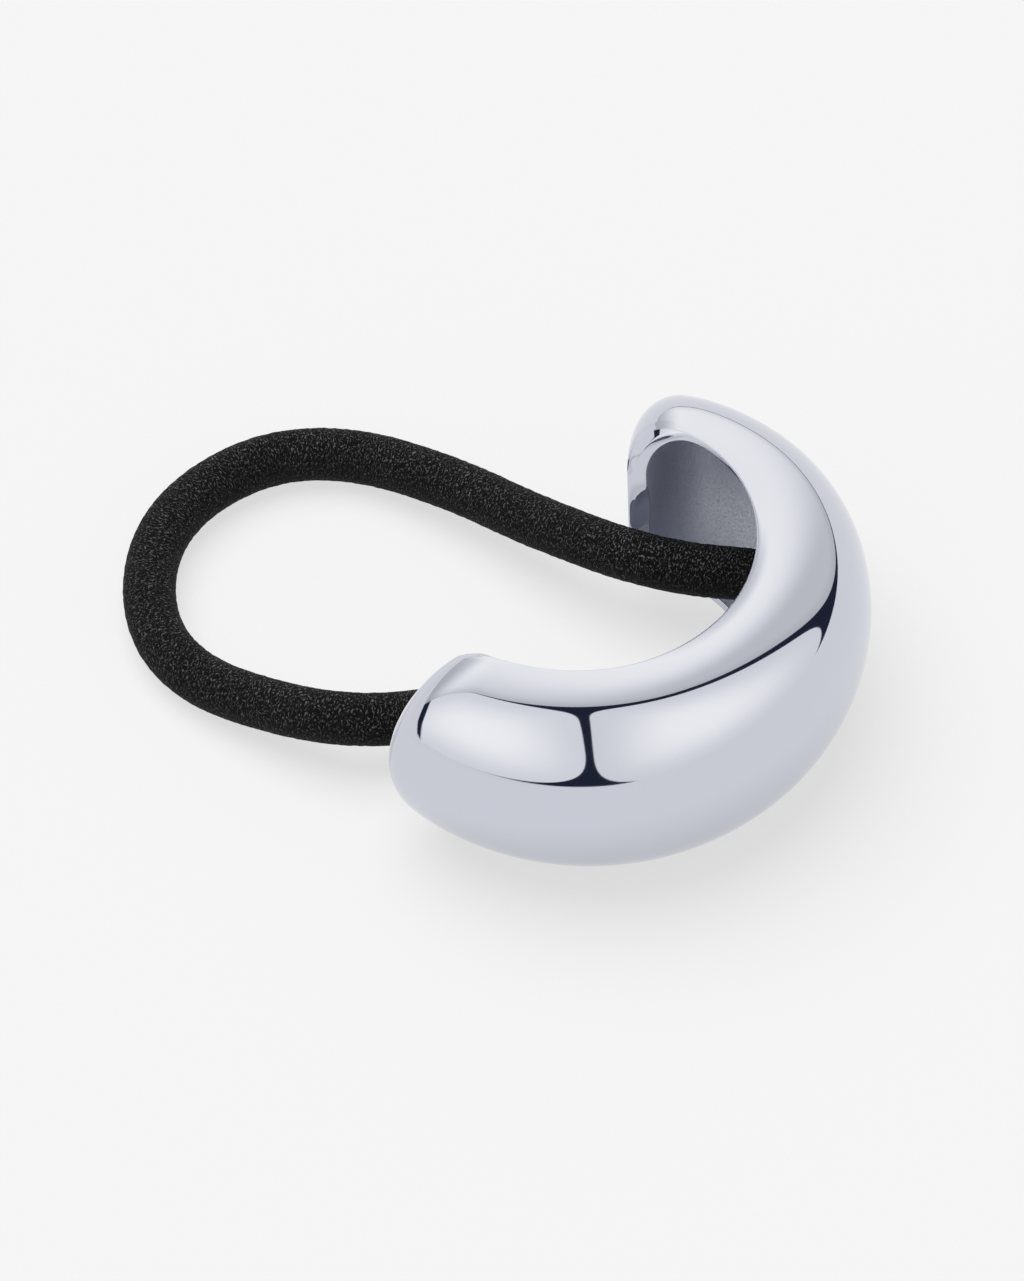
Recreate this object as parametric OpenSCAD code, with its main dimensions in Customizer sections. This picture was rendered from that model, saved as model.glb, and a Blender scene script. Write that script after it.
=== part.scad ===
// Ponytail cuff: a puffy C of polished metal, hollow and open on its inner side, with a knitted
// elastic loop whose ends are held inside the trough. It lies on its side: +Z up, the bulge
// towards -Y, the opening of the C towards +Y, the floor at Z 0.

/* [Bow] */
// Half width of the curved line that the cuff follows, left to right
bow_half_w = 16.5; // [15.5:0.1:17.5]
// Half depth of that line, from the bulge to the open side
bow_half_d = 14.8; // [14:0.1:15.5]
// Angle from the middle of the bulge to each end
bow_sweep = 121; // [116:1:123]

/* [Section] */
// Depth from the line to the outer skin, in the middle of the bulge
depth_mid = 7.7; // [7.5:0.1:8.5]
// The same depth next to the ends
depth_end = 11.85; // [11:0.05:12.5]
// Half the height in the middle of the bulge
half_h_mid = 10.9; // [10.5:0.1:11.5]
// Half the height next to the ends
half_h_end = 10.25; // [9.8:0.05:10.6]
// Length along the line in which the depth rounds down to nothing at an end
nose_len = 3.8; // [3:0.1:4.5]
// Radius at which the upper and lower edges turn into an end
corner_r = 6; // [5:0.1:7]
// Thickness of the wall
wall = 0.8; // [0.7:0.05:1]

/* [Mouth] */
// Angle round the section from the outermost line to the rim, in the middle
rim_angle_mid = 110.5; // [105:0.5:115]
// The same angle at the ends
rim_angle_end = 78.5; // [75:0.5:84]
// Width of the flat lip across each end
end_lip = 1.9; // [1.5:0.1:2.2]

/* [Rest] */
// Angle by which the open side dips when the rounded cuff lies at rest
rest_tilt = 1.6; // [1.4:0.1:1.8]

/* [Elastic] */
// Thickness of the knitted elastic
elastic_d = 5; // [4.8:0.05:5]

/* [Sleeve] */
// Length of the sleeve that grips both ends of the elastic
sleeve_len = 7; // [6.5:0.1:7.2]
// Wall of the sleeve round each socket
sleeve_wall = 0.45; // [0.4:0.05:0.5]
// Solid web between the two sockets
sleeve_web = 2; // [1.6:0.1:2.4]
// Space round the elastic in its socket
socket_gap = 0.1; // [0.05:0.05:0.15]
// Distance from the middle of the sleeve to the wall behind it, filled by the glue
glue_gap = 0.5; // [0.4:0.05:0.6]

/* [Detail] */
// Steps round the section of the cuff
turn_steps = 24; // [16:2:26]
// Steps along each rounded end
nose_steps = 10; // [8:1:12]
// Steps along each half of the bow between the rounded ends
bow_steps = 24; // [16:1:26]
// Flat sides of the elastic
elastic_sides = 12; // [8:4:12]

/* [Hidden] */
$fn = 64;
bow_len = (bow_half_w + bow_half_d) / 2 * bow_sweep * PI / 180;
sleeve_r = elastic_d / 2 + socket_gap + sleeve_wall;
socket_depth = (sleeve_len - sleeve_web) / 2;
// straight run of the elastic out of its socket, in equal steps
lead_step = socket_depth + 0.1;

// Route of the elastic, between its two straight ends, anticlockwise from the far side
loop_route = [
    [10.5, -10.5, 10.5],
    [14, -6, 9.5],
    [14.5, -0.5, 8.5],
    [12.5, 4, 8],
    [11, 9, 8],
    [11, 14, 7],
    [11.5, 19, 6],
    [12, 24, 5],
    [13, 29.5, 4],
    [13, 35, 3.5],
    [13, 40.5, 2.5],
    [11, 45.5, 2.5],
    [7.5, 49.5, 2.5],
    [2.5, 52, 2.5],
    [-3, 53, 2.5],
    [-8.5, 52, 2.5],
    [-14, 49, 2.5],
    [-18, 44.5, 2.5],
    [-19.5, 39, 2.5],
    [-19.5, 33, 3.5],
    [-19.5, 27.5, 5],
    [-18, 23, 5.5],
    [-15, 19.5, 5],
    [-12.5, 16.5, 5.5],
    [-11, 12.5, 6.5],
    [-11.5, 8, 8],
    [-14, 3.5, 9],
    [-15.5, -1.5, 9.5],
    [-14, -7, 10],
    [-10.5, -10.5, 10.5],
];

function unit(v) = v / norm(v);
// a size that changes from the middle of the bow to its ends; v is 0 in the middle and 1 at an end
function along(mid, end, v) = mid + (end - mid) * v * v;
// share of the depth left at a distance from the end
function nose_share(s) = sqrt(1 - pow(1 - min(s / nose_len, 1), 2));
// height lost to the rounded corner at a distance from the end
function corner_drop(s) = corner_r - sqrt(corner_r * corner_r - pow(max(corner_r - s, 0), 2));

// Point of a skin of the cuff. u runs from -1 to 1 along the bow and turn from -1 to 1 round the
// section, rim to rim; inset is the depth of the skin below the outer one and back the distance
// by which its ends stop short.
function skin_point(u, turn, inset, back) =
    let (
        v = u * (1 - back / bow_len),
        from_end = (1 - abs(u)) * (bow_len - back),
        a = bow_sweep * v,
        q = turn * along(rim_angle_mid, rim_angle_end, v),
        depth = (along(depth_mid, depth_end, v) - inset) * nose_share(from_end) * cos(q),
        height = (along(half_h_mid, half_h_end, v) - inset - corner_drop(from_end)) * sin(q),
        ahead = unit([bow_half_w * cos(a), bow_half_d * sin(a)])
    )
    [bow_half_w * sin(a) + depth * ahead.y, -bow_half_d * cos(a) - depth * ahead.x, height];

// the dip of the resting cuff, as a turn about the X axis
function dip(p) = [
    p.x,
    p.y * cos(rest_tilt) + p.z * sin(rest_tilt),
    p.z * cos(rest_tilt) - p.y * sin(rest_tilt)
];

// distances of the stations from an end, close together where it rounds over
end_stations = concat(
    [for (k = [0 : nose_steps - 1]) corner_r * (1 - cos(90 * k / nose_steps))],
    [for (k = [0 : bow_steps]) corner_r + (bow_len - corner_r) * k / bow_steps]
);
half_count = len(end_stations) - 1;
stations = concat(
    [for (s = end_stations) s / bow_len - 1],
    [for (k = [half_count - 1 : -1 : 0]) 1 - end_stations[k] / bow_len]
);
turns = [for (k = [0 : turn_steps]) 2 * k / turn_steps - 1];
last_station = len(stations) - 1;

outer_skin = [for (u = stations) for (t = turns) dip(skin_point(u, t, 0, 0))];
inner_skin = [for (u = stations) for (t = turns) dip(skin_point(u, t, wall, end_lip))];
floor_drop = min([for (p = outer_skin) p.z]);
mid_y = (min([for (p = outer_skin) p.y]) + max([for (p = outer_skin) p.y])) / 2;

// moves a point of the bow's own frame to where the resting cuff has it
function place(p) = dip(p) - [0, mid_y, floor_drop];

sleeve_back = bow_half_d + depth_mid - wall - glue_gap - sleeve_r;
sleeve_at = place([0, -sleeve_back, 0]);

// the straight end of the elastic on one side, from the web of the sleeve outwards
function lead(side) = [for (k = [0 : 2]) sleeve_at + [side * (sleeve_web / 2 + k * lead_step), 0, 0]];
left_lead = lead(-1);
elastic_route = concat(lead(1), loop_route, [for (k = [2 : -1 : 0]) left_lead[k]]);

// Faces of a grid of points with one row for each station, seen from the outer side
function grid_faces(rows, columns) = [
    for (i = [0 : rows - 2]) for (j = [0 : columns - 2])
        let (a = i * columns + j, b = a + columns)
        each [[a, a + 1, b + 1], [a, b + 1, b]]
];
function turned(faces, first) = [for (f = faces) [first + f[2], first + f[1], first + f[0]]];
// indices along the edge of the grid, once round
function grid_edge(rows, columns) = concat(
    [for (i = [0 : rows - 2]) i * columns],
    [for (j = [0 : columns - 2]) (rows - 1) * columns + j],
    [for (i = [rows - 1 : -1 : 1]) i * columns + columns - 1],
    [for (j = [columns - 1 : -1 : 1]) j]
);
// strip that joins the edges of two grids; the second one starts at the index first
function edge_faces(edge, first) = [
    for (k = [0 : len(edge) - 1])
        let (a = edge[k], b = edge[(k + 1) % len(edge)])
        each [[a, b, first + b], [a, first + b, first + a]]
];

// Uniform cubic curve along a list of points, two rings for each of its spans
function padded(p) = concat([2 * p[0] - p[1]], p, [2 * p[len(p) - 1] - p[len(p) - 2]]);
function curve_point(p, k, t) = (
    pow(1 - t, 3) * p[k]
    + (3 * pow(t, 3) - 6 * t * t + 4) * p[k + 1]
    + (3 * t + 3 * t * t - 3 * pow(t, 3) + 1) * p[k + 2]
    + pow(t, 3) * p[k + 3]
) / 6;
function curve_ahead(p, k, t) = unit(
    -pow(1 - t, 2) * p[k]
    + (3 * t * t - 4 * t) * p[k + 1]
    + (1 + 2 * t - 3 * t * t) * p[k + 2]
    + t * t * p[k + 3]
);
function ring(centre, ahead) =
    let (side = unit(cross(ahead, [0, 0, 1])), up = cross(side, ahead))
    [for (k = [0 : elastic_sides - 1])
        let (a = 360 * k / elastic_sides)
        centre + elastic_d / 2 * (cos(a) * side + sin(a) * up)];
function tube_rings(p) = [
    for (k = [0 : len(p) - 4]) for (t = k == len(p) - 4 ? [0, 0.5, 1] : [0, 0.5])
        ring(curve_point(p, k, t), curve_ahead(p, k, t))
];

// The polished shell: outer skin, matt cavity and the lip all round the mouth between them
module cuff_shell() {
    columns = turn_steps + 1;
    skin = grid_faces(last_station + 1, columns);
    edge = grid_edge(last_station + 1, columns);
    first = len(outer_skin);
    color("gainsboro")
    translate([0, -mid_y, -floor_drop])
    polyhedron(
        points = concat(outer_skin, inner_skin),
        faces = concat(skin, turned(skin, first), edge_faces(edge, first)),
        convexity = 6
    );
}

// The hidden sleeve glued to the wall behind the elastic, with a blind socket for each end of it
module elastic_sleeve() {
    color("silver")
    translate(sleeve_at)
    rotate([0, 90, 0])
    difference() {
        cylinder(r = sleeve_r, h = sleeve_len, center = true);
        for (side = [0, 180])
            rotate([side, 0, 0])
            translate([0, 0, sleeve_web / 2])
            cylinder(r = elastic_d / 2 + socket_gap, h = sleeve_len);
    }
}

// The knitted elastic: one round cord from socket to socket
module elastic_loop() {
    rings = tube_rings(padded(elastic_route));
    count = len(rings);
    sides = elastic_sides;
    walls = [
        for (i = [0 : count - 2]) for (j = [0 : sides - 1])
            let (a = i * sides + j, b = i * sides + (j + 1) % sides)
            each [[a, b, b + sides], [a, b + sides, a + sides]]
    ];
    start_cap = [for (j = [sides - 1 : -1 : 0]) j];
    end_cap = [for (j = [0 : sides - 1]) (count - 1) * sides + j];
    color("#17171a")
    polyhedron(points = [for (r = rings) each r], faces = concat(walls, [start_cap, end_cap]), convexity = 6);
}

cuff_shell();
elastic_sleeve();
elastic_loop();
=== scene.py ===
import math

import bmesh
import bpy
from bpy.props import FloatProperty, FloatVectorProperty, IntProperty, PointerProperty
from bpy.types import Operator, Panel, PropertyGroup
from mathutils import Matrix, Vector, noise


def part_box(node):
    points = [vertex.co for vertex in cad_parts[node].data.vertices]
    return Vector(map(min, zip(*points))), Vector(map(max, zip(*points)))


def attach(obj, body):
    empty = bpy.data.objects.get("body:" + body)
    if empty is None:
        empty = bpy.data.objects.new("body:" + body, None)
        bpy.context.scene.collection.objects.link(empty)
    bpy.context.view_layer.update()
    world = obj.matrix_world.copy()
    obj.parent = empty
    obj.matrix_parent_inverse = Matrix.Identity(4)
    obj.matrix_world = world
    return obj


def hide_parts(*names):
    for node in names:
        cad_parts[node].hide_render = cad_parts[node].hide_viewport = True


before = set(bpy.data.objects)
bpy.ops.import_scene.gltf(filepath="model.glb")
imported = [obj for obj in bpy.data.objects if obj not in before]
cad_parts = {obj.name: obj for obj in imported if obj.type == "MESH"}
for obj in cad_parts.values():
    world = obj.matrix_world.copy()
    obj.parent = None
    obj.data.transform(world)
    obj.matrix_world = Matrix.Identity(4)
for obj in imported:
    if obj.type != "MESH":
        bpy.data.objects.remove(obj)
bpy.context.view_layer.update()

bl_info = {
    "name": "Ponytail Cuff",
    "version": (1, 0, 0),
    "blender": (4, 5, 0),
    "location": "3D View > Sidebar > Cuff",
    "description": "Polished ponytail cuff with a knitted elastic loop, lying on a pale table",
    "category": "Add Mesh",
}

MM = 0.001

# The picture is 1281 pixels high, 10.7 of them to a millimetre of the object
PICTURE_HEIGHT = 1281 / 10.7 * MM

# Closer than this, points are merged where two edges of a mesh meet
MERGE = 1e-7

# The line that the middle of the elastic follows, from the far side of the hidden sleeve to its near
# side, in metres
ELASTIC_ROUTE = [
    (0.0105, -0.0105, 0.0105),
    (0.0140, -0.0060, 0.0095),
    (0.0145, -0.0005, 0.0085),
    (0.0125, 0.0040, 0.0080),
    (0.0110, 0.0090, 0.0080),
    (0.0110, 0.0140, 0.0070),
    (0.0115, 0.0190, 0.0060),
    (0.0120, 0.0240, 0.0050),
    (0.0130, 0.0295, 0.0040),
    (0.0130, 0.0350, 0.0035),
    (0.0130, 0.0405, 0.0025),
    (0.0110, 0.0455, 0.0025),
    (0.0075, 0.0495, 0.0025),
    (0.0025, 0.0520, 0.0025),
    (-0.0030, 0.0530, 0.0025),
    (-0.0085, 0.0520, 0.0025),
    (-0.0140, 0.0490, 0.0025),
    (-0.0180, 0.0445, 0.0025),
    (-0.0195, 0.0390, 0.0025),
    (-0.0195, 0.0330, 0.0035),
    (-0.0195, 0.0275, 0.0050),
    (-0.0180, 0.0230, 0.0055),
    (-0.0150, 0.0195, 0.0050),
    (-0.0125, 0.0165, 0.0055),
    (-0.0110, 0.0125, 0.0065),
    (-0.0115, 0.0080, 0.0080),
    (-0.0140, 0.0035, 0.0090),
    (-0.0155, -0.0015, 0.0095),
    (-0.0140, -0.0070, 0.0100),
    (-0.0105, -0.0105, 0.0105),
]


def linear(code, alpha=None):
    """Linear colour of an sRGB hex code."""
    parts = [int(code[i:i + 2], 16) / 255 for i in (1, 3, 5)]
    colour = [c / 12.92 if c <= 0.04045 else ((c + 0.055) / 1.055) ** 2.4 for c in parts]
    return tuple(colour) if alpha is None else (*colour, alpha)


def node(tree, kind, inputs=(), **settings):
    """Adds a node and returns its outputs; an input is a value, or the output that it is linked to."""
    new = tree.nodes.new(kind)
    for name, value in settings.items():
        setattr(new, name, value)
    for name, value in dict(inputs).items():
        if isinstance(value, bpy.types.NodeSocket):
            tree.links.new(value, new.inputs[name])
        else:
            new.inputs[name].default_value = value
    return new.outputs


def add_object(context, name, bm):
    """Adds a smoothly shaded object with the mesh of a bmesh, which it frees."""
    for face in bm.faces:
        face.smooth = True
    mesh = bpy.data.meshes.new(name)
    bm.to_mesh(mesh)
    bm.free()
    made = bpy.data.objects.new(name, mesh)
    context.scene.collection.objects.link(made)
    return made


class CuffForm(PropertyGroup):
    plating: FloatVectorProperty(
        name="Plating", description="Colour of the polished plating",
        default=linear("#cfd1dc", 1), size=4, subtype="COLOR", min=0, max=1)
    bow_half_w: FloatProperty(
        name="Bow half width", description="Half width of the line that the cuff follows",
        default=16.5 * MM, unit="LENGTH", precision=5)
    bow_half_d: FloatProperty(
        name="Bow half depth", description="Half depth of that line, bulge to open side",
        default=14.8 * MM, unit="LENGTH", precision=5)
    bow_sweep: FloatProperty(
        name="Bow sweep", description="Angle from the middle of the bulge to each end",
        default=math.radians(121), subtype="ANGLE")
    depth_mid: FloatProperty(
        name="Depth, middle", description="Depth from the line to the outer skin in the middle",
        default=7.7 * MM, unit="LENGTH", precision=5)
    depth_end: FloatProperty(
        name="Depth, ends", description="The same depth next to the ends",
        default=11.85 * MM, unit="LENGTH", precision=5)
    half_h_mid: FloatProperty(
        name="Half height, middle", description="Half the height in the middle of the bulge",
        default=10.9 * MM, unit="LENGTH", precision=5)
    half_h_end: FloatProperty(
        name="Half height, ends", description="Half the height next to the ends",
        default=10.25 * MM, unit="LENGTH", precision=5)
    nose_len: FloatProperty(
        name="Nose length", description="Length in which the depth rounds down to nothing",
        default=3.8 * MM, unit="LENGTH", precision=5)
    corner_r: FloatProperty(
        name="Corner size",
        description="Size of the corner where the upper and lower edges turn into an end",
        default=6 * MM, unit="LENGTH", precision=5)
    corner_power: FloatProperty(
        name="Corner fullness",
        description="2 for a round corner, more for a fuller one that starts softly",
        default=2.2)
    wall: FloatProperty(
        name="Wall", description="Thickness of the wall",
        default=0.8 * MM, unit="LENGTH", precision=5)
    rim_angle_mid: FloatProperty(
        name="Rim angle, middle", description="Angle round the section from outside to the rim",
        default=math.radians(110.5), subtype="ANGLE")
    rim_angle_end: FloatProperty(
        name="Rim angle, ends", description="The same angle at the ends",
        default=math.radians(78.5), subtype="ANGLE")
    end_lip: FloatProperty(
        name="End lip", description="Width of the lip across each end",
        default=1.9 * MM, unit="LENGTH", precision=5)
    rim_turn: FloatProperty(
        name="Rim turn", description="Length next to an end in which the lip's face turns upright",
        default=8 * MM, unit="LENGTH", precision=5)
    bevel_share: FloatProperty(
        name="Bevel share", description="Share of the lip's width that its outer bevel takes",
        default=0.3)
    lip_slant: FloatProperty(
        name="Lip slant",
        description="Depth by which the lower half of an end's lip slants into the hollow",
        default=2 * MM, unit="LENGTH", precision=5)
    edge_r: FloatProperty(
        name="Edge radius", description="Radius of the polished edges of the lip",
        default=0.22 * MM, unit="LENGTH", precision=5)
    rest_tilt: FloatProperty(
        name="Rest tilt", description="Angle by which the open side dips at rest",
        default=math.radians(1.6), subtype="ANGLE")
    steps_along: IntProperty(
        name="Steps along", description="Faces along the bow", default=240, min=80, max=320)
    steps_round: IntProperty(
        name="Steps round", description="Faces round the section", default=72, min=32, max=96)


class ElasticForm(PropertyGroup):
    # the yarn's own black, painted darker still as the painted shade between the stitches
    yarn: FloatVectorProperty(
        name="Yarn", description="Colour of the yarn in the shade of the stitches",
        default=linear("#010101", 1), size=4, subtype="COLOR", min=0, max=1)
    # painted highlight: the colour painted on the tops of the stitches
    glint: FloatVectorProperty(
        name="Glint", description="Colour of the brightest stitches",
        default=linear("#48484a", 1), size=4, subtype="COLOR", min=0, max=1)
    diameter: FloatProperty(
        name="Thickness", description="Thickness of the knitted elastic",
        default=5 * MM, unit="LENGTH", precision=5)
    steps_round: IntProperty(
        name="Steps round", description="Faces round the elastic", default=64, min=16, max=96)
    ring_gap: FloatProperty(
        name="Ring gap", description="Distance between the rings along the elastic",
        default=0.24 * MM, unit="LENGTH", precision=5)
    nap: FloatProperty(
        name="Nap", description="Depth of the small bumps of the knit",
        default=0.06 * MM, unit="LENGTH", precision=6)
    nap_size: FloatProperty(
        name="Nap size", description="Width of the small bumps of the knit",
        default=0.45 * MM, unit="LENGTH", precision=6)


class StudioLook(PropertyGroup):
    camera_azimuth: FloatProperty(
        name="Camera azimuth",
        description="Turn of the camera round the vertical, 0 in front of the bulge",
        default=math.radians(-58.78), subtype="ANGLE")
    camera_elevation: FloatProperty(
        name="Camera elevation", description="Height of the camera above the table as an angle",
        default=math.radians(48.23), subtype="ANGLE")
    camera_distance: FloatProperty(
        name="Camera distance", description="Distance from the camera to its target",
        default=1.5, unit="LENGTH")
    target: FloatVectorProperty(
        name="Target", description="Point of the table in the middle of the picture",
        default=(1.94 * MM, 18.77 * MM, 0), size=3, subtype="XYZ", precision=5)
    picture_height: FloatProperty(
        name="Picture height", description="Height of the picture at the target",
        default=PICTURE_HEIGHT, unit="LENGTH", precision=5)
    table_glow: FloatProperty(
        name="Table glow", description="Light that the backlit table gives off itself",
        default=0.665)
    key_azimuth: FloatProperty(
        name="Key light azimuth", description="Turn of the key light from the camera, to its left",
        default=math.radians(135), subtype="ANGLE")
    key_elevation: FloatProperty(
        name="Key light elevation", description="Height of the key light above the table as an angle",
        default=math.radians(70), subtype="ANGLE")
    key_spread: FloatProperty(
        name="Key light spread", description="Angle that the key light fills, for soft shadows",
        default=math.radians(60), subtype="ANGLE")
    key_strength: FloatProperty(
        name="Key light strength", description="Strength of the key light", default=7.2)


def direction(azimuth, elevation):
    """Unit vector at an azimuth, 0 towards -Y and growing towards +X, and an elevation."""
    flat = math.cos(elevation)
    return Vector((math.sin(azimuth) * flat, -math.cos(azimuth) * flat, math.sin(elevation)))


class CUFF_OT_camera(Operator):
    """Places the camera at the viewing angle of the picture"""
    bl_idname = "cuff.camera"
    bl_label = "Place the Camera"

    def execute(self, context):
        look = context.scene.cuff_studio
        sensor = 36.0
        data = bpy.data.cameras.new("camera")
        data.sensor_width = sensor
        data.lens = sensor * look.camera_distance / look.picture_height
        data.clip_end = 20
        back = direction(look.camera_azimuth, look.camera_elevation)
        camera = bpy.data.objects.new("camera", data)
        camera.location = Vector(look.target) + back * look.camera_distance
        camera.rotation_euler = back.to_track_quat("Z", "Y").to_euler()
        context.scene.collection.objects.link(camera)
        context.scene.camera = camera
        return {"FINISHED"}


def along(mid, end, v):
    """A size that changes from the middle of the bow to its ends; v is 0 in the middle, 1 at an end."""
    return mid + (end - mid) * v * v


def smooth_step(share):
    """A share held between 0 and 1 and eased at both."""
    share = min(1, max(0, share))
    return share * share * (3 - 2 * share)


# The slant of an end's lip starts at this turn round the section and is full after this run of turns.
# Towards the lip's edges it fades with the cosine of this share of the angle.
SLANT_START = 0.5
SLANT_RUN = 0.8
SLANT_FADE = 0.8


class Bow:
    """The shape of the cuff: points of its skins, set where the resting cuff has them."""

    def __init__(self, form):
        self.form = form
        self.length = (form.bow_half_w + form.bow_half_d) / 2 * form.bow_sweep
        self.shift = Vector((0, 0, 0))
        # the tilted cuff moves so that it stands on the floor, with the middle of its box at 0
        points = [
            self.skin(self.station(i / 200), j / 90, 0, 0)
            for i in range(-200, 201) for j in range(-90, 91)]
        ys = [p.y for p in points]
        self.shift = Vector((0, -(min(ys) + max(ys)) / 2, -min(p.z for p in points)))

    def station(self, x):
        """Place along the bow, -1 to 1, of an evenly spaced one: denser where the ends round over."""
        nose_share = 0.2
        left = 1 - abs(x)
        corner = self.form.corner_r
        if left < nose_share:
            from_end = corner * (1 - math.cos(math.pi / 2 * left / nose_share))
        else:
            from_end = corner + (self.length - corner) * (left - nose_share) / (1 - nose_share)
        return math.copysign(1 - from_end / self.length, x)

    def skin(self, u, turn, inset, back):
        """Point of a skin; inset is its depth below the outer one, back how far its ends stop short."""
        form = self.form
        v = u * (1 - back / self.length)
        from_end = (1 - abs(u)) * (self.length - back)
        a = form.bow_sweep * v
        near_end = smooth_step(1 - from_end / form.rim_turn) if inset else 0
        rim = along(form.rim_angle_mid, form.rim_angle_end, v)
        q = turn * (rim + (math.pi / 2 - rim) * near_end)
        nose = math.sqrt(max(0.0, 1 - (1 - min(from_end / form.nose_len, 1)) ** 2))
        corner = form.corner_r - inset
        short = max(0.0, 1 - from_end / corner)
        drop = corner * (1 - (1 - short ** form.corner_power) ** (1 / form.corner_power))
        slant = form.lip_slant * smooth_step((SLANT_START - turn) / SLANT_RUN) * inset / form.wall
        depth = (along(form.depth_mid, form.depth_end, v) - inset) * nose * math.cos(q)
        depth += slant * (1 - nose) * math.cos(SLANT_FADE * q)
        height = (along(form.half_h_mid, form.half_h_end, v) - inset - drop) * math.sin(q)
        ahead = Vector((form.bow_half_w * math.cos(a), form.bow_half_d * math.sin(a))).normalized()
        x = form.bow_half_w * math.sin(a) + depth * ahead.y
        y = -form.bow_half_d * math.cos(a) - depth * ahead.x
        cos_t = math.cos(form.rest_tilt)
        sin_t = math.sin(form.rest_tilt)
        return Vector((x, y * cos_t + height * sin_t, height * cos_t - y * sin_t)) + self.shift

    def outer(self, x, turn):
        return self.skin(self.station(x), turn, 0, 0)

    def bevel(self, x, turn):
        share = self.form.bevel_share
        return self.skin(self.station(x), turn, self.form.wall * share, self.form.end_lip * share)

    def inner(self, x, turn):
        return self.skin(self.station(x), turn, self.form.wall, self.form.end_lip)


def mouth_edge(form):
    """Places (x, turn) on the edge of the mouth, in order once round it."""
    xs = [2 * i / form.steps_along - 1 for i in range(form.steps_along)]
    turns = [2 * i / form.steps_round - 1 for i in range(form.steps_round)]
    return (
        [(x, -1.0) for x in xs] + [(1.0, turn) for turn in turns]
        + [(-x, 1.0) for x in xs] + [(-1.0, -turn) for turn in turns])


# Share of the way to the mouth's edge from which the run of a skin is measured
RUN_FROM = 0.996

# Rounds of easing for the three edges of the lip, and then for each line along it
EDGE_EASING = 12
LINE_EASING = 8


def edge_runs(skin, places):
    """Points of a skin at the mouth's edge, and the directions in which the skin runs out there."""
    count = len(places)
    points = [skin(x, turn) for x, turn in places]
    ahead = [(points[(k + 2) % count] - points[k - 2]).normalized() for k in range(count)]
    runs = []
    for k, (x, turn) in enumerate(places):
        back_x = x * RUN_FROM if abs(x) == 1 else x
        back_turn = turn * RUN_FROM if abs(turn) == 1 else turn
        run = points[k] - skin(back_x, back_turn)
        runs.append((run - ahead[k] * run.dot(ahead[k])).normalized())
    reach = range(-3, 4)
    smooth = [
        sum((runs[(k + r) % count] for r in reach), Vector()).normalized() for k in range(count)]
    return points, smooth


def rounded(before, corner, after, radius):
    """Five points round a corner between its two neighbours, starting and ending a radius from it."""
    start = corner + (before - corner).normalized() * radius
    end = corner + (after - corner).normalized() * radius
    shares = (0, 1 / 4, 1 / 2, 3 / 4, 1)
    return [start * (1 - t) ** 2 + corner * 2 * t * (1 - t) + end * t ** 2 for t in shares]


def ease_along(points, times):
    """Eases a closed line of points in place."""
    count = len(points)
    for _ in range(times):
        points[:] = [
            (points[k - 1] + points[k] * 2 + points[(k + 1) % count]) / 4 for k in range(count)]


def place_key(x, turn):
    """A place of the skins as the rows of the lip are looked up by it."""
    return round(x, 4), round(turn, 4)


def lip_rows(bow):
    """Points across the lip, outer skin to inner one, for each place of the mouth's edge."""
    radius = bow.form.edge_r
    places = mouth_edge(bow.form)
    outer, outer_run = edge_runs(bow.outer, places)
    bevel, _ = edge_runs(bow.bevel, places)
    inner, inner_run = edge_runs(bow.inner, places)
    for points in (outer, bevel, inner):
        ease_along(points, EDGE_EASING)
    across = [
        rounded(outer[k] - outer_run[k], outer[k], bevel[k], radius)
        + rounded(outer[k], bevel[k], inner[k], radius)
        + rounded(bevel[k], inner[k], inner[k] - inner_run[k], radius) for k in range(len(places))]
    lines = [list(line) for line in zip(*across)]
    for line in lines:
        ease_along(line, LINE_EASING)
    return {place_key(*place): [line[k] for line in lines] for k, place in enumerate(places)}


def shell_mesh(form):
    """Outer skin, lip and hollow as one closed bmesh, the hollow with the second material."""
    bow = Bow(form)
    bm = bmesh.new()
    at_x = bm.verts.layers.float.new("along")
    at_turn = bm.verts.layers.float.new("turn")
    outer = bmesh.ops.create_grid(
        bm, x_segments=form.steps_along, y_segments=form.steps_round, size=1)["verts"]
    for vert in outer:
        vert[at_x] = vert.co.x
        vert[at_turn] = vert.co.y
    edge = [e for e in bm.edges if e.is_boundary]
    rows = lip_rows(bow)
    last = len(rows[(1, 1)]) - 1
    for vert in outer:
        key = place_key(vert[at_x], vert[at_turn])
        vert.co = rows[key][0] if key in rows else bow.outer(vert[at_x], vert[at_turn])
    for row in range(1, last + 1):
        made = bmesh.ops.extrude_edge_only(bm, edges=edge)["geom"]
        edge = [g for g in made if isinstance(g, bmesh.types.BMEdge) and g.is_boundary]
        for vert in {v for e in edge for v in e.verts}:
            vert.co = rows[place_key(vert[at_x], vert[at_turn])][row]
    polished = set(bm.faces)
    inner = bmesh.ops.create_grid(
        bm, x_segments=form.steps_along, y_segments=form.steps_round, size=1)["verts"]
    for vert in inner:
        key = place_key(vert.co.x, vert.co.y)
        vert.co = rows[key][last] if key in rows else bow.inner(vert.co.x, vert.co.y)
    cavity = [f for f in bm.faces if f not in polished]
    bmesh.ops.reverse_faces(bm, faces=cavity)
    for face in cavity:
        face.material_index = 1
    bmesh.ops.remove_doubles(bm, verts=bm.verts[:], dist=MERGE)
    if any(not e.is_manifold for e in bm.edges):
        raise RuntimeError("the shell isn't closed")
    return bm


# How far the box of the shell may be from that of the node it stands for
BOX_SLACK = 0.15 * MM


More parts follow.
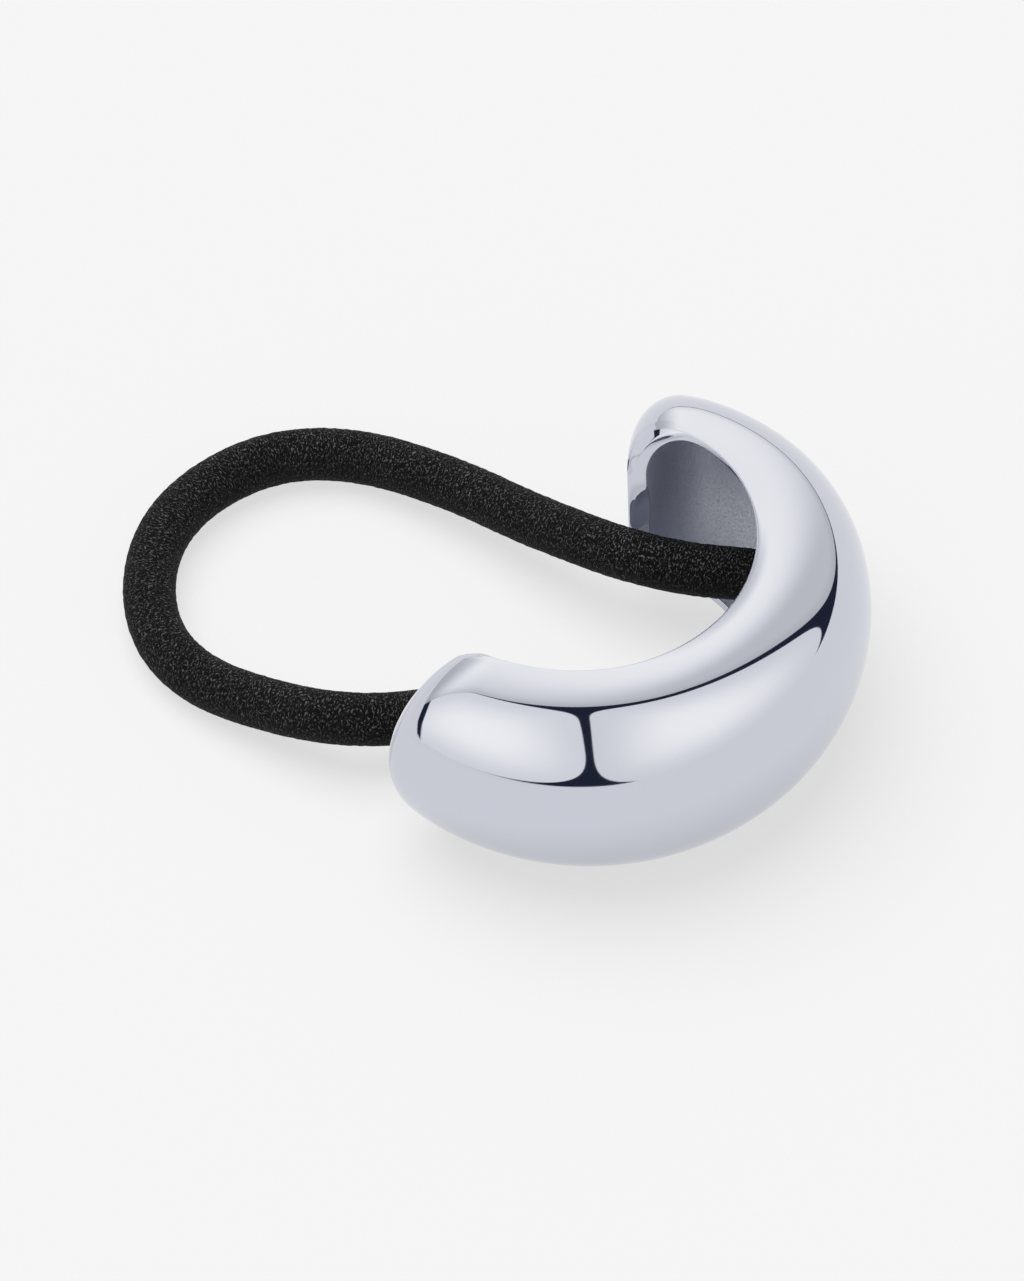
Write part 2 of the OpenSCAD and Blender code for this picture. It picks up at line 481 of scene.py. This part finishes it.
class CUFF_OT_shell(Operator):
    """Makes the polished shell with its satin hollow and rounded lip"""
    bl_idname = "cuff.shell"
    bl_label = "Make the Shell"

    def execute(self, context):
        form = context.scene.cuff_form
        shell = add_object(context, "cuff_shell_polished", shell_mesh(form))
        mesh = shell.data
        mesh.materials.append(polished_rhodium(form.plating))
        mesh.materials.append(cast_hollow())
        for pick, want in zip((min, max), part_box("cuff_shell")):
            have = [pick(v.co[k] for v in mesh.vertices) for k in range(3)]
            if any(abs(have[k] - want[k]) > BOX_SLACK for k in range(3)):
                raise RuntimeError(f"the shell's box {have} isn't the frame's {list(want)}")
        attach(shell, "root")
        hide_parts("cuff_shell")
        return {"FINISHED"}


def cubic_point(p, k, t):
    """Point of the uniform cubic curve along a list of points, in its span k."""
    return (
        p[k] * (1 - t) ** 3
        + p[k + 1] * (3 * t ** 3 - 6 * t ** 2 + 4)
        + p[k + 2] * (3 * t + 3 * t ** 2 - 3 * t ** 3 + 1)
        + p[k + 3] * t ** 3
    ) / 6


def elastic_line():
    """Points close together along the middle of the elastic, from socket to socket."""
    low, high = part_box("elastic_sleeve")
    middle = (low + high) / 2
    # half the web between the two sockets, and how far past a socket's mouth the first step goes
    web_half = 1.0 * MM
    past_mouth = 0.1 * MM
    lead_step = (high.x - low.x) / 2 - web_half + past_mouth
    lead = [Vector((web_half + k * lead_step, 0, 0)) for k in range(3)]
    points = [middle + p for p in lead]
    points += [Vector(p) for p in ELASTIC_ROUTE]
    points += [middle - p for p in reversed(lead)]
    points = [points[0] * 2 - points[1]] + points + [points[-1] * 2 - points[-2]]
    parts = 24
    line = [cubic_point(points, k, i / parts) for k in range(len(points) - 3) for i in range(parts)]
    line.append(cubic_point(points, len(points) - 4, 1))
    return line


def evenly(line, gap):
    """The line again with points at one even distance, near the given gap."""
    lengths = [0.0]
    for a, b in zip(line, line[1:]):
        lengths.append(lengths[-1] + (b - a).length)
    count = round(lengths[-1] / gap)
    points = []
    k = 0
    for i in range(count + 1):
        at = lengths[-1] * i / count
        while k < len(line) - 2 and lengths[k + 1] < at:
            k += 1
        share = (at - lengths[k]) / (lengths[k + 1] - lengths[k])
        points.append(line[k].lerp(line[k + 1], share))
    return points, lengths[-1]


# Rings in which the bumps of the knit rise from nothing in the sockets, where the elastic is smooth
SMOOTH_RINGS = 20

# How far the bumps sink into the elastic, as a share of their depth
NAP_SINK = 0.3


def elastic_mesh(form, line):
    """Closed tube round a line as a bmesh, with the small bumps of the knit."""
    last = len(line) - 1
    radius = form.diameter / 2
    bm = bmesh.new()
    bm.loops.layers.uv.new("UVMap")
    grid = bmesh.ops.create_grid(
        bm, x_segments=form.steps_round, y_segments=last, size=1, calc_uvs=True)["verts"]
    for vert in grid:
        k = round((vert.co.y + 1) / 2 * last)
        a = math.pi * vert.co.x
        ahead = (line[min(k + 1, last)] - line[max(k - 1, 0)]).normalized()
        side = ahead.cross(Vector((0, 0, 1))).normalized()
        up = side.cross(ahead)
        out = up * math.cos(a) + side * math.sin(a)
        free = min(1, k / SMOOTH_RINGS, (last - k) / SMOOTH_RINGS)
        bump = noise.noise((line[k] + out * radius) / form.nap_size) - NAP_SINK
        vert.co = line[k] + out * (radius + form.nap * bump * free)
    bmesh.ops.remove_doubles(bm, verts=bm.verts[:], dist=MERGE)
    bmesh.ops.holes_fill(bm, edges=[e for e in bm.edges if e.is_boundary], sides=0)
    return bm


class CUFF_OT_elastic(Operator):
    """Makes the knitted elastic as a tube along its route"""
    bl_idname = "cuff.elastic"
    bl_label = "Make the Elastic"

    def execute(self, context):
        form = context.scene.cuff_elastic
        line, length = evenly(elastic_line(), form.ring_gap)
        elastic = add_object(context, "elastic_knitted", elastic_mesh(form, line))
        elastic.data.materials.append(knitted_elastic(form, length))
        # the polished metal shows the table and the panels alone
        elastic.visible_glossy = False
        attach(elastic, "root")
        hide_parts("elastic_loop")
        return {"FINISHED"}


def new_material(name):
    """An empty material and its tree."""
    material = bpy.data.materials.new(name)
    material.use_nodes = True
    material.node_tree.nodes.clear()
    return material, material.node_tree


def polished_rhodium(plating):
    # Rhodium plate over hand-polished brass: a cold, slightly blue mirror, with the faint clouds of
    # blur, a few millimetres wide, that a felt wheel leaves
    material, tree = new_material("polished rhodium plate")
    place = node(tree, "ShaderNodeTexCoord")["Object"]
    clouds = node(
        tree, "ShaderNodeTexNoise", {"Vector": place, "Scale": 1 / (4 * MM), "Detail": 3})["Fac"]
    blur = node(
        tree, "ShaderNodeMapRange",
        {"Value": clouds, "From Min": 0.3, "From Max": 0.7, "To Min": 0.02, "To Max": 0.05})["Result"]
    shader = node(
        tree, "ShaderNodeBsdfPrincipled",
        {"Base Color": plating, "Metallic": 1, "Roughness": blur})["BSDF"]
    node(tree, "ShaderNodeOutputMaterial", {"Surface": shader})
    return material


def cast_hollow():
    # The hollow keeps its cast and blasted skin under the plating: satin grey, with a grain of about
    # 0.15 mm, drawn here at 0.2 mm so that it shows
    material, tree = new_material("satin cast brass, rhodium plated")
    place = node(tree, "ShaderNodeTexCoord")["Object"]
    grain = node(
        tree, "ShaderNodeTexNoise", {"Vector": place, "Scale": 1 / (0.2 * MM), "Detail": 2})["Fac"]
    patches = node(
        tree, "ShaderNodeTexNoise", {"Vector": place, "Scale": 1 / (5 * MM), "Detail": 2})["Fac"]
    colour = node(
        tree, "ShaderNodeMix",
        {"Factor": patches, "A": linear("#bcbfca", 1), "B": linear("#c6c9d3", 1)},
        data_type="RGBA")["Result"]
    blur = node(
        tree, "ShaderNodeMapRange",
        {"Value": grain, "From Min": 0.3, "From Max": 0.7, "To Min": 0.5, "To Max": 0.72})["Result"]
    relief = node(
        tree, "ShaderNodeBump", {"Height": grain, "Strength": 0.7, "Distance": 0.03 * MM})["Normal"]
    shader = node(
        tree, "ShaderNodeBsdfPrincipled",
        {"Base Color": colour, "Metallic": 1, "Roughness": blur, "Normal": relief})["BSDF"]
    node(tree, "ShaderNodeOutputMaterial", {"Surface": shader})
    return material


def knitted_elastic(form, length):
    # Warp-knitted polyester over rubber threads: nearly black, covered in short stitches that lie
    # across it, 0.1 mm apart in the real one and drawn 0.16 mm apart so that they show. Their tops are
    # painted grey as painted glints, and the yarn between them is painted darker than its own black as
    # painted shade. The stitches are 0.3 mm long, their lines wander by 0.9 mm within 0.9 mm, and the
    # painted glints are duller in patches of 6 mm.
    stitch_long = 0.3
    stitch_gap = 0.16
    wander_by = 0.9
    wander_within = 0.9
    patch = 6
    material, tree = new_material("black knitted polyester")
    uv = node(tree, "ShaderNodeUVMap", uv_map="UVMap")["UV"]
    millimetres = node(
        tree, "ShaderNodeVectorMath", {0: uv, 1: (math.pi * form.diameter / MM, length / MM, 0)},
        operation="MULTIPLY")["Vector"]
    wander = node(
        tree, "ShaderNodeTexNoise",
        {"Vector": millimetres, "Scale": 1 / wander_within, "Detail": 2})["Color"]
    drift = node(
        tree, "ShaderNodeVectorMath", {0: wander, 1: (wander_by, wander_by, 0), 2: millimetres},
        operation="MULTIPLY_ADD")["Vector"]
    across = node(
        tree, "ShaderNodeMapping",
        {"Vector": drift, "Scale": (1 / stitch_long, 1 / stitch_gap, 1)})["Vector"]
    stitches = node(
        tree, "ShaderNodeTexNoise",
        {"Vector": across, "Scale": 1, "Detail": 2, "Roughness": 0.6})["Fac"]
    # patches of 6 mm in which the painted glints are duller
    glint_patches = node(
        tree, "ShaderNodeTexNoise", {"Vector": millimetres, "Scale": 1 / patch, "Detail": 2})["Fac"]
    # painted highlight: the stitch tops get the glint colour where they catch the light, and the yarn
    # colour between them is painted shade
    lit_stitches = node(
        tree, "ShaderNodeMapRange", {"Value": stitches, "From Min": 0.54, "From Max": 0.68})["Result"]
    glint = node(
        tree, "ShaderNodeMix", {"Factor": glint_patches, "A": linear("#242425", 1), "B": form.glint},
        data_type="RGBA")["Result"]
    colour = node(
        tree, "ShaderNodeMix", {"Factor": lit_stitches, "A": form.yarn, "B": glint},
        data_type="RGBA")["Result"]
    gloss = node(
        tree, "ShaderNodeMapRange",
        {"Value": stitches, "From Min": 0.5, "From Max": 0.75, "To Min": 0.9, "To Max": 0.5})["Result"]
    relief = node(
        tree, "ShaderNodeBump", {"Height": stitches, "Strength": 1, "Distance": 0.12 * MM})["Normal"]
    shader = node(
        tree, "ShaderNodeBsdfPrincipled",
        {"Base Color": colour, "Roughness": gloss, "Normal": relief, "Specular IOR Level": 0.2})["BSDF"]
    node(tree, "ShaderNodeOutputMaterial", {"Surface": shader})
    return material


def drawn_brass():
    # Drawn brass tube: warm yellow metal with fine draw lines along it, about 0.1 mm apart
    material, tree = new_material("drawn brass")
    place = node(tree, "ShaderNodeTexCoord")["Object"]
    along_tube = node(
        tree, "ShaderNodeMapping", {"Vector": place, "Scale": (0.05, 1, 1)})["Vector"]
    lines = node(
        tree, "ShaderNodeTexNoise", {"Vector": along_tube, "Scale": 1 / (0.1 * MM), "Detail": 2})["Fac"]
    colour = node(
        tree, "ShaderNodeMix", {"Factor": lines, "A": linear("#b8934f", 1), "B": linear("#d8ba7c", 1)},
        data_type="RGBA")["Result"]
    blur = node(
        tree, "ShaderNodeMapRange", {"Value": lines, "To Min": 0.22, "To Max": 0.4})["Result"]
    shader = node(
        tree, "ShaderNodeBsdfPrincipled",
        {"Base Color": colour, "Metallic": 1, "Roughness": blur})["BSDF"]
    node(tree, "ShaderNodeOutputMaterial", {"Surface": shader})
    return material


class CUFF_OT_sleeve(Operator):
    """Gives the hidden sleeve its metal"""
    bl_idname = "cuff.sleeve"
    bl_label = "Finish the Sleeve"

    def execute(self, context):
        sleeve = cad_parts["elastic_sleeve"]
        sleeve.data.materials.clear()
        sleeve.data.materials.append(drawn_brass())
        return {"FINISHED"}


def seen_from_camera(look, azimuth, elevation):
    """Direction given in degrees, with azimuth 0 towards the camera and growing to its right."""
    return direction(look.camera_azimuth + math.radians(azimuth), math.radians(elevation))


# Light panels as the polished metal shows them, with their angles in degrees. A gap runs from its foot
# over the table to the apex. Its half width and its bend are in radians, and where the half width is
# below zero the soft outlines of its two panels overlap. A panel stands between two gaps, down to its
# foot. Its edge is the share of its light that is left at its outline, and its fade is how far in from
# there the light is full. Its spots are the lamp behind it, a shade in front of it or the dark card at
# its end: azimuth, elevation, radius, radius of the even core, and the share of the light that is left
# outside and in the core.
APEX = (-64, 82.3)
GAPS = {
    "front": {"azimuth": 2.1, "elevation": 3, "half_width": 0.022, "bend": 0},
    "right": {"azimuth": 114, "elevation": 3, "half_width": 0.036, "bend": -0.46},
    "left": {"azimuth": -112, "elevation": 10, "half_width": -0.004, "bend": 0},
}
PANELS = (
    {"from": "front", "to": "left", "foot": 0.065, "strength": 1.33, "edge": 0.73, "fade": 0.5,
     "spots": ((-108, -14, 40.7, 39.3, 1, 0),)},
    {"from": "right", "to": "front", "foot": -0.03, "strength": 1.28, "edge": 0.72, "fade": 0.5,
     "spots": ()},
    {"from": "left", "to": "right", "foot": 0.004, "strength": 1.26, "edge": 0.86, "fade": 0.15,
     "spots": ((-160, 24, 62.5, 0, 0.59, 1), (-133, 3, 42, 12, 1, 0.5))},
)

# How round the corners of a panel are next to the apex and at its foot, and how soft its outline is
TOP_CORNER = 0.26
FOOT_CORNER = 0.6
PANEL_SOFTNESS = 0.008

# The sweep at the edge of the table: where its slope faces, the middle and the radius of the mound
# that raises it on the left, in degrees, and its light
SLOPE_FACES = (100, 85)
MOUND = (-112, -40)
MOUND_RADIUS = 58
SWEEP_LIGHT = 0.9


def gap_side(tree, look, ray, height, gap):
    """How far a ray lies beside a gap's middle line, above zero on the side of lower azimuths."""
    foot = seen_from_camera(look, gap["azimuth"], gap["elevation"])
    normal = foot.cross(seen_from_camera(look, *APEX)).normalized()
    level = seen_from_camera(look, gap["azimuth"], 0)
    straight = node(
        tree, "ShaderNodeVectorMath", {0: ray, 1: normal}, operation="DOT_PRODUCT")["Value"]
    out = node(tree, "ShaderNodeVectorMath", {0: ray, 1: level}, operation="DOT_PRODUCT")["Value"]
    bend = node(tree, "ShaderNodeMath", {0: out, 1: gap["bend"]}, operation="MULTIPLY")[0]
    return node(
        tree, "ShaderNodeMath", {0: bend, 1: height, 2: straight}, operation="MULTIPLY_ADD")[0]


def panel_light(tree, look, ray, height, sides, panel):
    """Light of one panel along a ray, which is none outside it."""
    start = node(
        tree, "ShaderNodeMath", {0: sides[panel["from"]], 1: GAPS[panel["from"]]["half_width"]},
        operation="SUBTRACT")[0]
    end = node(
        tree, "ShaderNodeMath", {0: -GAPS[panel["to"]]["half_width"], 1: sides[panel["to"]]},
        operation="SUBTRACT")[0]
    low = node(tree, "ShaderNodeMath", {0: height, 1: panel["foot"]}, operation="SUBTRACT")[0]
    inside = node(
        tree, "ShaderNodeMath", {0: start, 1: end, 2: TOP_CORNER}, operation="SMOOTH_MIN")[0]
    inside = node(
        tree, "ShaderNodeMath", {0: inside, 1: low, 2: FOOT_CORNER}, operation="SMOOTH_MIN")[0]
    lit = node(
        tree, "ShaderNodeMapRange", {"Value": inside, "From Min": 0, "From Max": PANEL_SOFTNESS},
        interpolation_type="SMOOTHSTEP")["Result"]
    bright = panel["strength"]
    spread = node(
        tree, "ShaderNodeMapRange",
        {"Value": inside, "From Min": 0, "From Max": panel["fade"],
         "To Min": bright * panel["edge"], "To Max": bright},
        interpolation_type="SMOOTHSTEP")["Result"]
    light = node(tree, "ShaderNodeMath", {0: lit, 1: spread}, operation="MULTIPLY")[0]
    for azimuth, elevation, radius, core, outside, within in panel["spots"]:
        toward = node(
            tree, "ShaderNodeVectorMath", {0: ray, 1: seen_from_camera(look, azimuth, elevation)},
            operation="DOT_PRODUCT")["Value"]
        left = node(
            tree, "ShaderNodeMapRange",
            {"Value": toward, "From Min": math.cos(math.radians(radius)),
             "From Max": math.cos(math.radians(core)), "To Min": outside, "To Max": within},
            interpolation_type="SMOOTHSTEP")["Result"]
        light = node(tree, "ShaderNodeMath", {0: light, 1: left}, operation="MULTIPLY")[0]
    return light


def light_tent(look):
    """World of three soft panels round the table, with dark gaps and a pale sweep at its edge."""
    world = bpy.data.worlds.new("light tent")
    world.use_nodes = True
    tree = world.node_tree
    tree.nodes.clear()
    ray = node(tree, "ShaderNodeTexCoord")["Generated"]
    height = node(tree, "ShaderNodeSeparateXYZ", {"Vector": ray})["Z"]
    sides = {name: gap_side(tree, look, ray, height, gap) for name, gap in GAPS.items()}
    light, *others = [panel_light(tree, look, ray, height, sides, panel) for panel in PANELS]
    for other in others:
        light = node(tree, "ShaderNodeMath", {0: light, 1: other}, operation="MAXIMUM")[0]
    slope = node(
        tree, "ShaderNodeVectorMath", {0: ray, 1: -seen_from_camera(look, *SLOPE_FACES)},
        operation="DOT_PRODUCT")["Value"]
    mound = node(
        tree, "ShaderNodeVectorMath", {0: ray, 1: seen_from_camera(look, *MOUND)},
        operation="DOT_PRODUCT")["Value"]
    mound = node(
        tree, "ShaderNodeMath", {0: mound, 1: math.cos(math.radians(MOUND_RADIUS))},
        operation="SUBTRACT")[0]
    below = node(tree, "ShaderNodeMath", {0: slope, 1: mound}, operation="MAXIMUM")[0]
    sweep = node(
        tree, "ShaderNodeMapRange",
        {"Value": below, "From Min": -PANEL_SOFTNESS, "From Max": PANEL_SOFTNESS})["Result"]
    shown = node(
        tree, "ShaderNodeMix", {"Factor": sweep, "A": light, "B": SWEEP_LIGHT},
        data_type="FLOAT")["Result"]
    factor = node(tree, "ShaderNodeMath", {0: shown, 1: 1}, operation="MINIMUM")[0]
    # each panel is a little warmer in its bright middle
    warmth = node(
        tree, "ShaderNodeMapRange", {"Value": shown, "From Min": 0.95, "From Max": 1.4})["Result"]
    white = node(
        tree, "ShaderNodeMix",
        {"Factor": warmth, "A": linear("#fffffe", 1), "B": linear("#fffdf4", 1)},
        data_type="RGBA")["Result"]
    colour = node(
        tree, "ShaderNodeMix", {"Factor": factor, "A": linear("#252a3a", 1), "B": white},
        data_type="RGBA")["Result"]
    strength = node(tree, "ShaderNodeMath", {0: shown, 1: 1}, operation="MAXIMUM")[0]
    background = node(
        tree, "ShaderNodeBackground", {"Color": colour, "Strength": strength})["Background"]
    node(tree, "ShaderNodeOutputWorld", {"Surface": background})
    return world


def backlit_acrylic(look):
    # Opal acrylic sheet lit from below: an even pale ground that takes only light, soft shadows, with
    # a faint tooth of about 0.2 mm from its blasted face
    material, tree = new_material("backlit opal acrylic")
    place = node(tree, "ShaderNodeTexCoord")["Object"]
    tooth = node(
        tree, "ShaderNodeTexNoise", {"Vector": place, "Scale": 1 / (0.2 * MM), "Detail": 2})["Fac"]
    colour = node(
        tree, "ShaderNodeMix", {"Factor": tooth, "A": linear("#4c4c4c", 1), "B": linear("#545454", 1)},
        data_type="RGBA")["Result"]
    shader = node(
        tree, "ShaderNodeBsdfPrincipled",
        {"Base Color": colour, "Roughness": 1, "Specular IOR Level": 0, "Emission Color": (1, 1, 1, 1),
         "Emission Strength": look.table_glow})["BSDF"]
    node(tree, "ShaderNodeOutputMaterial", {"Surface": shader})
    return material


# Half the side of the table in metres
TABLE_HALF = 4


class CUFF_OT_studio(Operator):
    """Lays the pale table and sets up the soft light round it"""
    bl_idname = "cuff.studio"
    bl_label = "Set up the Studio"

    def execute(self, context):
        look = context.scene.cuff_studio
        context.scene.world = light_tent(look)
        context.scene.view_settings.view_transform = "Standard"
        bm = bmesh.new()
        bmesh.ops.create_grid(bm, x_segments=1, y_segments=1, size=TABLE_HALF)
        table = add_object(context, "table", bm)
        table.data.materials.append(backlit_acrylic(look))
        key = bpy.data.lights.new("key light", "SUN")
        key.energy = look.key_strength
        key.angle = look.key_spread
        lamp = bpy.data.objects.new("key light", key)
        towards = direction(look.camera_azimuth - look.key_azimuth, look.key_elevation)
        lamp.rotation_euler = towards.to_track_quat("Z", "Y").to_euler()
        # the polished metal shows the panels alone
        lamp.visible_glossy = False
        context.scene.collection.objects.link(lamp)
        return {"FINISHED"}


class CUFF_PT_panel(Panel):
    bl_idname = "CUFF_PT_panel"
    bl_label = "Ponytail Cuff"
    bl_space_type = "VIEW_3D"
    bl_region_type = "UI"
    bl_category = "Cuff"

    def draw(self, context):
        layout = self.layout
        for group in ("cuff_form", "cuff_elastic", "cuff_studio"):
            settings = getattr(context.scene, group)
            for name in settings.__annotations__:
                layout.prop(settings, name)
        for operator in OPERATORS:
            layout.operator(operator.bl_idname)


GROUPS = {"cuff_form": CuffForm, "cuff_elastic": ElasticForm, "cuff_studio": StudioLook}
OPERATORS = (CUFF_OT_camera, CUFF_OT_elastic, CUFF_OT_shell, CUFF_OT_sleeve, CUFF_OT_studio)
CLASSES = (*GROUPS.values(), *OPERATORS, CUFF_PT_panel)


def register():
    for cls in CLASSES:
        bpy.utils.register_class(cls)
    for name, group in GROUPS.items():
        setattr(bpy.types.Scene, name, PointerProperty(type=group))


def unregister():
    for name in GROUPS:
        delattr(bpy.types.Scene, name)
    for cls in reversed(CLASSES):
        bpy.utils.unregister_class(cls)


def main():
    register()
    bpy.ops.cuff.camera()
    bpy.ops.cuff.elastic()
    bpy.ops.cuff.shell()
    bpy.ops.cuff.sleeve()
    bpy.ops.cuff.studio()


if __name__ == "__main__":
    main()
